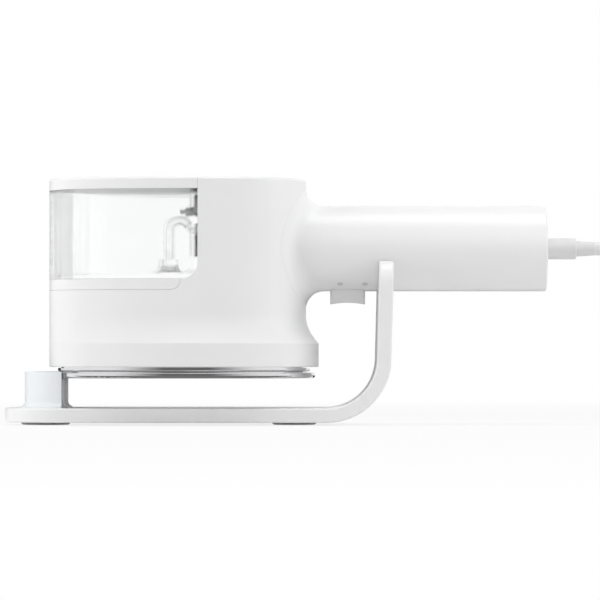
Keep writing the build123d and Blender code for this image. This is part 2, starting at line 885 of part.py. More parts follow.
def make_dock_nipple():
    x_tip = x_tank_back - port_seal_depth + slip_gap
    z_low = z_port - nipple_radius
    nipple = rod(nipple_radius, (x_tip, 0, z_port), (x_elbow + nipple_radius, 0, z_port))
    x_flange = x_bay_inner + nipple_flange_thickness
    nipple += rod(nipple_flange_radius, (x_bay_inner, 0, z_port), (x_flange, 0, z_port))
    nipple += rod(nipple_radius, (x_elbow, 0, z_low), (x_elbow, 0, z_hose_end))
    nipple += rod(hose_barb_radius, (x_elbow, 0, z_hose_end), (x_elbow, 0, z_barb_top))
    nipple -= rod(nipple_bore, (x_tip, 0, z_port), (x_elbow, 0, z_port))
    return nipple - rod(nipple_bore, (x_elbow, 0, z_port), (x_elbow, 0, z_barb_top))


def make_inlet_hose():
    half = (x_pump - x_elbow) / 2
    crest = ((x_elbow + x_pump) / 2, 0, z_barb_top + half)
    edges = [
        Edge.make_line((x_elbow, 0, z_hose_end), (x_elbow, 0, z_barb_top)),
        Edge.make_three_point_arc((x_elbow, 0, z_barb_top), crest, (x_pump, 0, z_barb_top)),
        Edge.make_line((x_pump, 0, z_barb_top), (x_pump, 0, z_hose_end)),
    ]
    return tube_on(edges, hose_radius) - tube_on(edges, hose_barb_radius + bore_gap)


def make_outlet_hose():
    low = z_chamber + inlet_base_height
    return pipe(hose_radius, hose_barb_radius + bore_gap, (x_pump, 0, low), (x_pump, 0, z_pump_low))


def make_inlet_nipple():
    z_base = z_chamber + inlet_base_height
    z_tip = z_base + hose_overlap
    nipple = rod(inlet_base_radius, (x_pump, 0, z_chamber), (x_pump, 0, z_base))
    nipple += rod(hose_barb_radius, (x_pump, 0, z_base), (x_pump, 0, z_tip))
    return nipple - rod(hose_barb_bore, (x_pump, 0, z_chamber), (x_pump, 0, z_tip))


def make_pump_body():
    z_tip = z_pump_low - hose_overlap
    z_shelf_low = z_coil - bracket_thickness
    body = rod(pump_radius, (x_pump, 0, z_pump_low), (x_pump, 0, z_pump_shoulder))
    body += rod(
        pump_collar_radius, (x_pump, 0, z_shelf_low - pump_collar_height), (x_pump, 0, z_shelf_low)
    )
    body += rod(pump_neck_radius, (x_pump, 0, z_pump_shoulder), (x_pump, 0, z_hose_end))
    body += rod(hose_barb_radius, (x_pump, 0, z_hose_end), (x_pump, 0, z_barb_top))
    body += rod(hose_barb_radius, (x_pump, 0, z_tip), (x_pump, 0, z_pump_low))
    body -= rod(pump_bore, (x_pump, 0, z_pump_seat), (x_pump, 0, z_pump_roof))
    return body - rod(hose_barb_bore, (x_pump, 0, z_tip), (x_pump, 0, z_barb_top))


def make_pump_coil():
    high = z_coil + coil_height
    return pipe(coil_radius, pump_radius + seat_gap, (x_pump, 0, z_coil), (x_pump, 0, high))


def make_pump_piston():
    low = (x_pump, 0, z_pump_seat)
    return pipe(piston_radius, piston_hole, low, (x_pump, 0, z_pump_seat + piston_length))


def make_pump_spring():
    low = z_pump_seat + piston_length
    return spring(x_pump, low, z_pump_roof, pump_spring_radius, pump_spring_wire, pump_spring_turns)


def make_pump_bracket():
    x_plate = x_bay_inner + bracket_boss_length
    z_low = z_coil - bracket_thickness
    shelf_end = x_pump + coil_radius
    shelf = block((x_plate, -bracket_half_width, z_low), (shelf_end, bracket_half_width, z_coil))
    plate_end = (x_plate + bracket_thickness, bracket_half_width, z_low + bracket_height)
    bracket = shelf + block((x_plate, -bracket_half_width, z_low), plate_end)
    bracket -= rod(pump_radius + seat_gap, (x_pump, 0, z_low), (x_pump, 0, z_coil))
    for y in (-bracket_boss_spread, bracket_boss_spread):
        start = (x_plate, y, z_boss)
        end = (x_plate + bracket_thickness, y, z_boss)
        bracket -= rod(screw_radius + bore_gap, start, end)
    return bracket


def make_bracket_screws():
    x_head = x_bay_inner + bracket_boss_length + bracket_thickness
    place = (x_head, bracket_boss_spread, z_boss)
    return mirrored_pair(screw(place, (-1, 0, 0), bracket_screw_length))


# Water tank

x_tank_back = x_bay - tank_back_gap
x_tank_inner = x_tank_back - tank_back_wall
z_tank = z_shelf + slip_gap
z_tank_floor = z_tank + tank_floor
z_cap = z_top - cap_height
z_filler = z_shelf + filler_rise
z_filler_neck = z_filler - filler_neck_drop
x_intake = x_bay - intake_drop_place
tank_form = head_form & bay_block(x_tank_back, z_tank, tank_corner_radius - slip_gap)


def filler_outline(grow):
    """The filler plug's rounded outline, seen along X."""
    face = SlotOverall(filler_flange_width + 2 * grow, filler_flange_height + 2 * grow)
    return Plane(origin=(x_tank_back, 0, z_filler), x_dir=(0, 1, 0), z_dir=(-1, 0, 0)) * face


def barb_place(along):
    """A point on the axis of the hose barb, so far from the tank's back wall."""
    slope = math.radians(intake_barb_slope)
    return Vector(x_tank_inner - along * math.cos(slope), 0, z_port + along * math.sin(slope))


def make_tank_shell():
    below_cap = block((x_stand_front, -head_width, z_tank), (x_bay, head_width, z_cap))
    low = (x_stand_front, -head_width, z_tank_floor)
    high = (x_tank_inner, head_width, z_top)
    room = round_lower_back(block(low, high), tank_corner_radius - tank_floor)
    inner = extrude(Pos(0, 0, z_tank) * body_oval(0, tank_wall), z_top - z_tank) & room
    shell = (tank_form & below_cap) - inner
    x_seal = x_tank_back - port_seal_depth
    root = tuple(barb_place(-intake_barb_root))
    tip = tuple(barb_place(intake_barb_length))
    ahead_of_seal = block((x_stand_front, -head_width, z_tank), (x_seal, head_width, z_cap))
    shell += rod(hose_barb_radius, root, tip) & ahead_of_seal
    shell -= rod(port_seal_radius, (x_seal, 0, z_port), (x_tank_back, 0, z_port))
    shell -= rod(hose_barb_bore, root, tip)
    shell -= extrude(filler_outline(seat_gap), filler_flange_recess + filler_flange_thickness)
    neck_start = (x_tank_inner, 0, z_filler_neck)
    shell -= rod(filler_neck_radius + bore_gap, neck_start, (x_tank_back, 0, z_filler_neck))
    return shell - grip_pad_block(grip_pad_recess)


def grip_pad_block(recess):
    """The grip pad in its pocket, with the space behind it down to a recess."""
    depth, width, height = grip_pad_size
    low = z_shelf + grip_pad_rise - height / 2
    x_pad = x_tank_back - grip_pad_recess
    return block((x_pad - depth, -width / 2, low), (x_pad + recess, width / 2, low + height))


def make_grip_pad():
    return grip_pad_block(0)


def make_tank_cap():
    return tank_form & block((x_stand_front, -head_width, z_cap), (x_bay, head_width, z_top))


def make_filler_plug():
    x_flange = x_tank_back - filler_flange_recess - filler_flange_thickness
    x_neck_end = x_tank_inner - filler_neck_reach
    x_stub = x_tank_inner - filler_stub_reach
    plug = Pos(-filler_flange_recess, 0, 0) * extrude(filler_outline(0), filler_flange_thickness)
    plug += rod(filler_neck_radius, (x_neck_end, 0, z_filler_neck), (x_flange, 0, z_filler_neck))
    return plug + rod(filler_stub_radius, (x_stub, 0, z_filler_neck), (x_neck_end, 0, z_filler_neck))


def make_port_seal():
    start = (x_tank_back - port_seal_depth, 0, z_port)
    return pipe(port_seal_radius, nipple_radius + slip_gap, start, (x_tank_back, 0, z_port))


def make_intake_hose():
    slope = math.radians(intake_barb_slope)
    start = barb_place((intake_hose_radius + seat_gap) * math.tan(slope))
    bend = barb_place(intake_barb_length)
    radius = (bend.X - x_intake) / (1 + math.sin(slope))
    z_centre = bend.Z - radius * math.cos(slope)
    crest = (x_intake + radius, 0, z_centre + radius)
    turn_end = (x_intake, 0, z_centre)
    edges = [
        Edge.make_line(start, bend),
        Edge.make_three_point_arc(bend, crest, turn_end),
        Edge.make_line(turn_end, (x_intake, 0, z_tank_floor + weight_height)),
    ]
    return tube_on(edges, intake_hose_radius) - tube_on(edges, hose_barb_radius + bore_gap)


def make_intake_weight():
    z_rim = z_tank_floor + weight_rim_height
    z_waist = z_tank_floor + weight_skirt_height
    z_weight = z_tank_floor + weight_height
    flare = weight_radius - weight_neck_radius
    hollow = (weight_neck_radius + weight_hollow_share * flare, z_rim + weight_hollow_rise)
    edges = [
        Edge.make_line((0, z_tank_floor), (weight_radius, z_tank_floor)),
        Edge.make_line((weight_radius, z_tank_floor), (weight_radius, z_rim)),
        Edge.make_three_point_arc((weight_radius, z_rim), hollow, (weight_neck_radius, z_waist)),
        Edge.make_line((weight_neck_radius, z_waist), (weight_neck_radius, z_weight)),
        Edge.make_line((weight_neck_radius, z_weight), (0, z_weight)),
        Edge.make_line((0, z_weight), (0, z_tank_floor)),
    ]
    bell = Pos(x_intake, 0, 0) * revolve(Plane.XZ * make_face(edges), Axis.Z)
    barb = rod(hose_barb_radius, (x_intake, 0, z_weight), (x_intake, 0, z_weight + hose_overlap))
    return bell + barb


# Cord

coil_angle_start = -math.pi / 2
coil_layer_turn = 0.5  # turns in which the winding changes layer
z_coil_low = cord_radius + tie_lift
z_coil_high = z_coil_low + coil_pitch
coil_inner_radius = coil_outer_radius - coil_pitch * coil_turns_per_layer
coil_turns = 2 * coil_turns_per_layer + coil_layer_turn
x_coil = x_relief_end + 2 * (cord_exit_run + cord_slant_run + cord_radius) + cord_fall_run


def coil_place(turn):
    """The point on the coil after so many turns: in on the upper layer, out again on the lower one."""
    change = (turn - coil_turns_per_layer) / coil_layer_turn
    if change <= 0:
        radius = coil_outer_radius - coil_pitch * turn
        z = z_coil_high
    elif change >= 1:
        radius = coil_inner_radius + coil_pitch * (turn - coil_turns_per_layer - coil_layer_turn)
        z = z_coil_low
    else:
        radius = coil_inner_radius - coil_pitch * coil_layer_turn * (change - change**2)
        z = z_coil_high - coil_pitch * (3 * change**2 - 2 * change**3)
    angle = coil_angle_start + 2 * math.pi * turn
    return Vector(x_coil + radius * math.cos(angle), radius * math.sin(angle), z)


coil_arcs, coil_directions = wound_edges(coil_place, round(4 * coil_turns))
coil_start = coil_place(0)
coil_end = coil_place(coil_turns)
coil_lead_end = coil_start - coil_directions[0] * 2 * cord_radius
coil_tail_start = coil_end + coil_directions[-1] * 2 * cord_radius


def lead_points():
    """The cord's route from the strain relief to the coil."""
    start = Vector(x_relief_end, 0, z_axis)
    last = coil_lead_end - coil_directions[0] * cord_exit_run
    first = start + Vector(cord_exit_run, 0, 0)
    across = last - first
    second = first + Vector(cord_slant_run, across.Y * cord_slant_share, across.Z * cord_slant_share)
    third = last - Vector(cord_slant_run, across.Y * cord_slant_share, across.Z * cord_slant_share)
    return [start, first, second, third, last, coil_lead_end]


def tail_points():
    """The cord's route from the coil to the plug."""
    first = coil_tail_start + coil_directions[-1] * tail_run
    second = Vector(first.X - tail_rise_run, first.Y + tail_drift, plug_height / 2)
    return [coil_tail_start, first, second, second - Vector(tail_run, 0, 0)]


def make_cord(points):
    radii = bend_radii([tuple(p) for p in points])
    path = FilletPolyline(*points, radius=radii)
    tube = tube_on(path.edges(), cord_radius)
    section = math.pi * cord_radius**2
    print("cord radii", [round(r, 1) for r in radii], "length", round(path.length, 1))
    print("cord volume over section times length", round(tube.volume / (section * path.length), 4))
    return tube


def make_cord_lead():
    return make_cord(lead_points())


def make_cord_tail():
    return make_cord(tail_points())


def make_cord_coil():
    edges = [Edge.make_line(coil_lead_end, coil_start)] + coil_arcs
    edges.append(Edge.make_line(coil_end, coil_tail_start))
    tube = tube_on(edges, cord_radius)
    length = sum(e.length for e in edges)
    section = math.pi * cord_radius**2
    print("coil length", round(length, 1), "volume ratio", round(tube.volume / (section * length), 4))
    steps = 48
    points = [coil_place(i / steps) for i in range(round(coil_turns * steps) + 1)]
    gap = min(
        (a - b).length
        for i, a in enumerate(points)
        for b in points[i + steps // 2:]
    )
    print("coil least gap", round(gap - 2 * cord_radius, 2))
    return tube


def make_cord_tie():
    outer = coil_place(0.25).X + cord_radius + tie_slack
    inner = coil_place(coil_turns_per_layer - 0.25).X - cord_radius - tie_slack
    high = z_coil_high + cord_radius + slip_gap
    room = block((inner, -tie_width / 2, tie_thickness), (outer, tie_width / 2, high))
    loop = block(
        (inner - tie_thickness, -tie_width / 2, 0),
        (outer + tie_thickness, tie_width / 2, high + tie_thickness),
    )
    return fillet(loop.edges().filter_by(Axis.Y), tie_corner_radius) - room


plug_entry = tail_points()[-1]


def plug_section(along, width, height, corner):
    """A rounded face across the plug, so far along from the cord's end."""
    origin = (plug_entry.X - along, plug_entry.Y, plug_entry.Z)
    return Plane(origin=origin, x_dir=(0, 1, 0), z_dir=(-1, 0, 0)) * RectangleRounded(width, height, corner)


def pin_block(side):
    """One flat pin, set into the plug's face."""
    x_root = plug_entry.X - plug_length + pin_set_in
    y = plug_entry.Y + side * pin_spread
    low = (x_root - pin_length - pin_set_in, y - pin_thickness / 2, plug_entry.Z - pin_width / 2)
    return block(low, (x_root, y + pin_thickness / 2, plug_entry.Z + pin_width / 2))


def make_plug_body():
    neck = plug_section(0, plug_neck_size, plug_neck_size, plug_corner_radius)
    shoulder = plug_section(plug_neck_length, plug_width, plug_height, plug_corner_radius)
    body = loft([neck, shoulder]) + extrude(shoulder, plug_length - plug_neck_length)
    return body - pin_block(-1) - pin_block(1)


def make_plug_pins():
    return Compound([pin_block(-1), pin_block(1)])


nodes = {
    "stand_strip": make_stand_strip,
    "front_rest": make_front_rest,
    "rest_pad": make_rest_pad,
    "stand_feet": make_stand_feet,
    "rest_screws": make_rest_screws,
    "head_shell": make_head_shell,
    "tank_dock": make_tank_dock,
    "head_skirt": make_head_skirt,
    "trim_ring": make_trim_ring,
    "soleplate": make_soleplate,
    "heat_gasket": make_heat_gasket,
    "steam_chamber": make_steam_chamber,
    "heating_element": make_heating_element,
    "thermostat": make_thermostat,
    "thermal_fuse": make_thermal_fuse,
    "inlet_nipple": make_inlet_nipple,
    "outlet_hose": make_outlet_hose,
    "pump_body": make_pump_body,
    "pump_coil": make_pump_coil,
    "pump_piston": make_pump_piston,
    "pump_spring": make_pump_spring,
    "pump_bracket": make_pump_bracket,
    "bracket_screws": make_bracket_screws,
    "dock_nipple": make_dock_nipple,
    "inlet_hose": make_inlet_hose,
    "tank_shell": make_tank_shell,
    "tank_cap": make_tank_cap,
    "filler_plug": make_filler_plug,
    "port_seal": make_port_seal,
    "grip_pad": make_grip_pad,
    "intake_hose": make_intake_hose,
    "intake_weight": make_intake_weight,
    "handle_shell": make_handle_shell,
    "handle_tray": make_handle_tray,
    "control_board": make_control_board,
    "tact_switch": make_tact_switch,
    "steam_button": make_steam_button,
    "button_spring": make_button_spring,
    "indicator_lenses": make_indicator_lenses,
    "handle_end_cap": make_handle_end_cap,
    "strain_relief": make_strain_relief,
    "mains_leads": make_mains_leads,
    "pump_leads": make_pump_leads,
    "heater_leads": make_heater_leads,
    "cord_lead": make_cord_lead,
    "cord_coil": make_cord_coil,
    "cord_tail": make_cord_tail,
    "cord_tie": make_cord_tie,
    "plug_body": make_plug_body,
    "plug_pins": make_plug_pins,
}

os.makedirs("parts", exist_ok=True)
for name, make in nodes.items():
    export_step(make(), f"parts/{name}.step")
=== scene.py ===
import bpy
import json
import math
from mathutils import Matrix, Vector


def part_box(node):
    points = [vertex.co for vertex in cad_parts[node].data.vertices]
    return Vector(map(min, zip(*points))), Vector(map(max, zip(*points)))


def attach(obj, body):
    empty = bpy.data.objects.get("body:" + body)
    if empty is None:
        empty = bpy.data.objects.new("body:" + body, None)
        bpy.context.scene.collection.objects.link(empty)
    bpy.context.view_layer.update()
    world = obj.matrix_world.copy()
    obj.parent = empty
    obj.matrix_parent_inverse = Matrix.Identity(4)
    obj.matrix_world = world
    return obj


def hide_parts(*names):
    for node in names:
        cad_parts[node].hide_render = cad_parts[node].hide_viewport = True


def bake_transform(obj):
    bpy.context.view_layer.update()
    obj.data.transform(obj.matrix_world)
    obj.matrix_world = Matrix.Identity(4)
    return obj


# A handheld garment steamer on its stand. Sizes are in metres, in the frame of the CAD model.

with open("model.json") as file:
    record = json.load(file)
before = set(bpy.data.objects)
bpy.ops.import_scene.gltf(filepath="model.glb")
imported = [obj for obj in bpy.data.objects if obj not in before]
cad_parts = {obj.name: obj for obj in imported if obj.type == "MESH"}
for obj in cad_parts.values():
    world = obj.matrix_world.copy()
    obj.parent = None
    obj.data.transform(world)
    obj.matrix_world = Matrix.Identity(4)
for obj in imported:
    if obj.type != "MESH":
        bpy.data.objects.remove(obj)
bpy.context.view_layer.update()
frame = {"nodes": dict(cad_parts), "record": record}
scene = bpy.context.scene
scene.view_settings.view_transform = "Standard"

# Camera
camera_distance = 1.85
camera_height = 0.034
view_width = 0.2824  # across the picture, at the object's middle plane
view_centre = Vector((0.0001, 0.0, 0.0586))
sensor_width = 36.0
camera_reach = 20.0

# Cord, with the route's values repeated from the CAD model
cord_diameter = 0.0062
cord_start = Vector((0.1385, 0.0, 0.0827))
cord_exit_run = 0.026
cord_slant_run = 0.021
cord_slant_share = 0.2
cord_fall_run = 0.014
coil_outer_radius = 0.0469
coil_pitch = 0.0069
coil_turns_per_layer = 3.5
coil_layer_turn = 0.5
coil_height_low = 0.004
coil_height_high = 0.0109
coil_steps = 24  # points for each turn
tail_run = 0.013
tail_rise_run = 0.016
tail_drift = 0.0015
plug_centre_height = 0.008
spline_order = 3
spline_steps = 8  # points for each span
tube_sides = 20
sharp_angle = math.radians(50)
sleeve_length = 0.019
sleeve_root_radius = 0.0046
sleeve_tip_radius = 0.0039
sleeve_groove = 0.0005
sleeve_ribs = 6
sleeve_steps = 6  # rings for each rib
sleeve_groove_steps = 2
grip_count = 4
grip_pitch = 0.0032
grip_start = 0.004
grip_half_length = 0.0065
grip_radius = 0.0006
grip_end_share = 0.02  # what is left of the section at the ends
grip_steps = 12
grip_sides = 10

# Springs, with values repeated from the CAD model
button_spring_wire_radius = 0.0004
button_spring_turns = 4
pump_spring_wire_radius = 0.00035
pump_spring_turns = 7
spring_steps = 24  # points for each turn
spring_sides = 10

# Texture, with scales in waves for each metre
tone_low = 0.35  # noise values between which the tone changes
tone_high = 0.65
sheen_low = 0.3  # noise values between which the roughness changes
sheen_high = 0.7
noise_detail = 3.0
plastic_evenness = 0.985
plastic_tone_scale = 35.0
plastic_sheen_scale = 160.0
plastic_smoother = 0.04
plastic_rougher = 0.05
plastic_grain_scale = 2200.0
plastic_grain_strength = 0.25
plastic_grain_depth = 0.00002
rubber_tone_scale = 300.0
rubber_tone_detail = 5.0
rubber_sheen_scale = 500.0
rubber_smoother = 0.08
rubber_rougher = 0.1
rubber_grain_scale = 3200.0
rubber_grain_depth = 0.00004
clear_ior = 1.49
clear_alpha = 0.5
clear_evenness = 0.985
clear_tone_scale = 60.0
clear_sheen_scale = 120.0
clear_smoother = 0.5
clear_rougher = 1.5
metal_evenness = 0.93
metal_detail = 4.0
metal_smoother = 0.75
metal_rougher = 1.3
metal_line_strength = 0.3

# Floor
floor_half_width = 4.0
floor_colour = (0.85, 0.85, 0.85, 1)
floor_roughness = 0.9
floor_near = 0.25  # within this distance it shows faint shadows
floor_far = 0.9  # from here on it is plain white
floor_near_white = 0.8  # the share of plain white within the near distance

# Light levels
front_light = 0.30
back_light = 0.60
top_light = 0.06
side_light = 0.06

# Dark pieces of the studio, which only glossy surfaces show: they paint dark reflections on the steel and
# along the object's edges
wall_radius = 1.95
wall_steps = 24
card_height = 0.55
card_half_angle = math.radians(85)
card_level = 0.15
card_top_start = 0.25  # the height from which it brightens
card_end_start = 0.5  # how far to each side it is dark
card_end_stop = 1.4
flag_height = 0.8
flag_first_angle = math.radians(186)
flag_last_angle = math.radians(220)
sheet_half_width = 0.8
sheet_far = 1.9
sheet_height = 0.002
back_sheet_near = 0.1
front_sheet_near = 0.031
front_sheet_level = 0.2


# Camera, cord, plug and springs

def add_camera():
    data = bpy.data.cameras.new("camera")
    camera = bpy.data.objects.new("camera", data)
    scene.collection.objects.link(camera)
    camera.location = (view_centre.x, -camera_distance, camera_height)
    towards = view_centre - camera.location
    camera.rotation_euler = towards.to_track_quat("-Z", "Y").to_euler()
    data.sensor_width = sensor_width
    data.lens = sensor_width * towards.length / view_width
    data.clip_end = camera_reach
    scene.camera = camera


def coil_place(turn):
    """The point on the coil after so many turns: in on the upper layer, out again on the lower one."""
    inner_radius = coil_outer_radius - coil_pitch * coil_turns_per_layer
    change = (turn - coil_turns_per_layer) / coil_layer_turn
    if change <= 0:
        radius = coil_outer_radius - coil_pitch * turn
        height = coil_height_high
    elif change >= 1:
        radius = inner_radius + coil_pitch * (turn - coil_turns_per_layer - coil_layer_turn)
        height = coil_height_low
    else:
        radius = inner_radius - coil_pitch * coil_layer_turn * (change - change**2)
        height = coil_height_high - coil_pitch * (3 * change**2 - 2 * change**3)
    # the spline runs a little inside its points
    radius /= math.cos(math.pi / coil_steps)
    angle = 2 * math.pi * turn - math.pi / 2
    run = 2 * (cord_exit_run + cord_slant_run + cord_diameter / 2) + cord_fall_run
    return Vector((cord_start.x + run + radius * math.cos(angle), radius * math.sin(angle), height))


def cord_points():
    """The cord's route from the strain relief, round the coil and on to the plug."""
    turns = 2 * coil_turns_per_layer + coil_layer_turn
    coil = [coil_place(i / coil_steps) for i in range(round(turns * coil_steps) + 1)]
    lead_end = coil[0] - Vector((cord_diameter, 0, 0))
    last = lead_end - Vector((cord_exit_run, 0, 0))
    first = cord_start + Vector((cord_exit_run, 0, 0))
    across = last - first
    slant = Vector((cord_slant_run, across.y * cord_slant_share, across.z * cord_slant_share))
    tail_start = coil[-1] - Vector((cord_diameter, 0, 0))
    tail_first = tail_start - Vector((tail_run, 0, 0))
    tail_second = tail_first + Vector((-tail_rise_run, tail_drift, plug_centre_height - tail_first.z))
    plug_entry = tail_second - Vector((tail_run, 0, 0))
    lead = [cord_start, first, first + slant, last - slant, last, lead_end]
    return lead + coil + [tail_start, tail_first, tail_second, plug_entry]


def spline_line(points):
    """Points along the smooth spline that has these control points."""
    curve = bpy.data.curves.new("route", "CURVE")
    curve.dimensions = "3D"
    curve.resolution_u = spline_steps
    spline = curve.splines.new("NURBS")
    spline.points.add(len(points) - 1)
    for spot, point in zip(spline.points, points):
        spot.co = (*point, 1)
    spline.order_u = spline_order
    spline.use_endpoint_u = True
    route = bpy.data.objects.new("route", curve)
    mesh = bpy.data.meshes.new_from_object(route)
    line = [v.co.copy() for v in mesh.vertices]
    bpy.data.objects.remove(route)
    bpy.data.meshes.remove(mesh)
    return line


def tube_mesh(name, tubes, sides):
    """Closed round tubes, each along a line with a radius at each point."""
    corners = []
    faces = []
    for line, radii in tubes:
        start = len(corners)
        tangents = []
        for i in range(len(line)):
            tangents.append((line[min(i + 1, len(line) - 1)] - line[max(i - 1, 0)]).normalized())
        side = tangents[0].orthogonal().normalized()
        for point, tangent, radius in zip(line, tangents, radii):
            side = (side - tangent * side.dot(tangent)).normalized()
            up = tangent.cross(side)
            for k in range(sides):
                angle = 2 * math.pi * k / sides
                corners.append(point + (side * math.cos(angle) + up * math.sin(angle)) * radius)
        for i in range(len(line) - 1):
            for k in range(sides):
                a = start + i * sides + k
                b = start + i * sides + (k + 1) % sides
                faces.append((a, b, b + sides, a + sides))
        last = start + (len(line) - 1) * sides
        faces.append(tuple(reversed(range(start, start + sides))))
        faces.append(tuple(range(last, last + sides)))
    mesh = bpy.data.meshes.new(name)
    mesh.from_pydata(corners, [], faces)
    mesh.shade_smooth()
    mesh.set_sharp_from_angle(angle=sharp_angle)
    piece = bpy.data.objects.new(name, mesh)
    scene.collection.objects.link(piece)
    return piece


def place_on(line, distance):
    """The point so far back from the end of a line."""
    for here, before in zip(reversed(line), reversed(line[:-1])):
        step = (before - here).length
        if distance <= step:
            return here.lerp(before, distance / step)
        distance -= step
    return line[0]


def plug_sleeve(line):
    """The plug's bend protector, a tapered and ribbed sleeve that follows the cord."""
    spots = []
    radii = []
    steps = sleeve_ribs * sleeve_steps
    for i in range(steps + 1):
        share = i / steps
        spots.append(place_on(line, sleeve_length * share))
        in_groove = i % sleeve_steps >= sleeve_steps - sleeve_groove_steps
        depth = sleeve_groove if in_groove else 0.0
        radii.append(sleeve_root_radius + (sleeve_tip_radius - sleeve_root_radius) * share - depth)
    return tube_mesh("plug_sleeve", [(spots, radii)], tube_sides)


def plug_grips():
    """Slender ridges across the top of the plug."""
    low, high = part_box("plug_body")
    middle = (low.y + high.y) / 2
    tubes = []
    for i in range(grip_count):
        x = low.x + grip_start + i * grip_pitch
        line = []
        radii = []
        for k in range(grip_steps + 1):
            across = 2 * k / grip_steps - 1
            line.append(Vector((x, middle + across * grip_half_length, high.z)))
            radii.append(grip_radius * math.sqrt(max(1 - across**4, grip_end_share)))
        tubes.append((line, radii))
    return tube_mesh("plug_grips", tubes, grip_sides)


def add_spring(node, wire_radius, turns):
    """A spring in place of the solid one."""
    low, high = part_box(node)
    middle = (low + high) / 2
    radius = (high.x - low.x) / 2 - wire_radius
    rise = high.z - low.z - 2 * wire_radius
    steps = turns * spring_steps
    line = []
    for i in range(steps + 1):
        angle = 2 * math.pi * i / spring_steps
        x = middle.x + radius * math.cos(angle)
        y = middle.y + radius * math.sin(angle)
        line.append(Vector((x, y, low.z + wire_radius + rise * i / steps)))
    spring = tube_mesh(node + "_wire", [(line, [wire_radius] * len(line))], spring_sides)
    spring.data.materials.append(materials["steel"])
    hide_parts(node)
    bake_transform(spring)


# Materials

def start_material(name, roughness):
    """A material and its shader."""
    material = bpy.data.materials.new(name)
    material.use_nodes = True
    shader = material.node_tree.nodes["Principled BSDF"]
    shader.inputs["Roughness"].default_value = roughness
    return material, shader


def add_node(material, kind, values=None, **settings):
    node = material.node_tree.nodes.new(kind)
    for key, value in settings.items():
        setattr(node, key, value)
    for key, value in (values or {}).items():
        node.inputs[key].default_value = value
    return node


def link(material, output, target):
    material.node_tree.links.new(output, target)


def noise(material, scale, detail=noise_detail, stretch=(1, 1, 1)):
    """Noise in the object's own coordinates."""
    place = add_node(material, "ShaderNodeTexCoord")
    mapping = add_node(material, "ShaderNodeMapping", {"Scale": stretch})
    texture = add_node(material, "ShaderNodeTexNoise", {"Scale": scale, "Detail": detail})
    link(material, place.outputs["Object"], mapping.inputs["Vector"])
    link(material, mapping.outputs["Vector"], texture.inputs["Vector"])
    return texture.outputs["Fac"]


def vary_colour(material, shader, value, first, second):
    """The base colour runs between two tones."""
    ramp = add_node(material, "ShaderNodeValToRGB")
    ramp.color_ramp.elements[0].position = tone_low
    ramp.color_ramp.elements[1].position = tone_high
    ramp.color_ramp.elements[0].color = (*first, 1)
    ramp.color_ramp.elements[1].color = (*second, 1)
    link(material, value, ramp.inputs["Fac"])
    link(material, ramp.outputs["Color"], shader.inputs["Base Color"])


def vary_roughness(material, shader, value, low, high):
    """The roughness runs between two values."""
    limits = {"From Min": sheen_low, "From Max": sheen_high, "To Min": low, "To Max": high}
    spread = add_node(material, "ShaderNodeMapRange", limits)
    link(material, value, spread.inputs["Value"])
    link(material, spread.outputs["Result"], shader.inputs["Roughness"])


def add_bump(material, shader, value, strength, distance):
    bump = add_node(material, "ShaderNodeBump", {"Strength": strength, "Distance": distance})
    link(material, value, bump.inputs["Height"])
    link(material, bump.outputs["Normal"], shader.inputs["Normal"])


def moulded_plastic(name, colour, roughness):
    """Moulded plastic with a fine spark-eroded grain and a slightly uneven sheen."""
    material, shader = start_material(name, roughness)
    darker = tuple(plastic_evenness * c for c in colour)
    vary_colour(material, shader, noise(material, plastic_tone_scale), darker, colour)
    sheen = noise(material, plastic_sheen_scale)
    vary_roughness(material, shader, sheen, roughness - plastic_smoother, roughness + plastic_rougher)
    grain = noise(material, plastic_grain_scale)
    add_bump(material, shader, grain, plastic_grain_strength, plastic_grain_depth)
    return material


def soft_rubber(name, colour, roughness=0.62, glow_depth=0.0, evenness=0.96, grain_strength=0.4):
    """Rubber or silicone with a dusty, fine-grained surface, which light may enter to some depth."""
    material, shader = start_material(name, roughness)
    if glow_depth:
        shader.inputs["Subsurface Weight"].default_value = 1.0
        shader.inputs["Subsurface Radius"].default_value = (1, 1, 1)
        shader.inputs["Subsurface Scale"].default_value = glow_depth
    darker = tuple(evenness * c for c in colour)
    vary_colour(material, shader, noise(material, rubber_tone_scale, rubber_tone_detail), darker, colour)
    sheen = noise(material, rubber_sheen_scale)
    vary_roughness(material, shader, sheen, roughness - rubber_smoother, roughness + rubber_rougher)
    add_bump(material, shader, noise(material, rubber_grain_scale), grain_strength, rubber_grain_depth)
    return material


def clear_plastic(name, tint, roughness):
    """Clear moulded plastic with faint flow marks."""
    material, shader = start_material(name, roughness)
    shader.inputs["Transmission Weight"].default_value = 1.0
    shader.inputs["IOR"].default_value = clear_ior
    shader.inputs["Alpha"].default_value = clear_alpha
    darker = tuple(clear_evenness * c for c in tint)
    vary_colour(material, shader, noise(material, clear_tone_scale), darker, tint)
    sheen = noise(material, clear_sheen_scale)
    vary_roughness(material, shader, sheen, clear_smoother * roughness, clear_rougher * roughness)
    return material


def metal(name, colour, roughness, scale, stretch, depth):
    """Metal with fine lines, or with an even grain where nothing is stretched."""
    material, shader = start_material(name, roughness)
    shader.inputs["Metallic"].default_value = 1.0
    lines = noise(material, scale, metal_detail, stretch)
    darker = tuple(metal_evenness * c for c in colour)
    vary_colour(material, shader, lines, darker, colour)
    vary_roughness(material, shader, lines, metal_smoother * roughness, metal_rougher * roughness)
    add_bump(material, shader, lines, metal_line_strength, depth)
    return material


def paint(node, material):
    """The node gets this material alone."""
    slots = frame["nodes"][node].data.materials
    slots.clear()
    slots.append(material)


# Light and floor

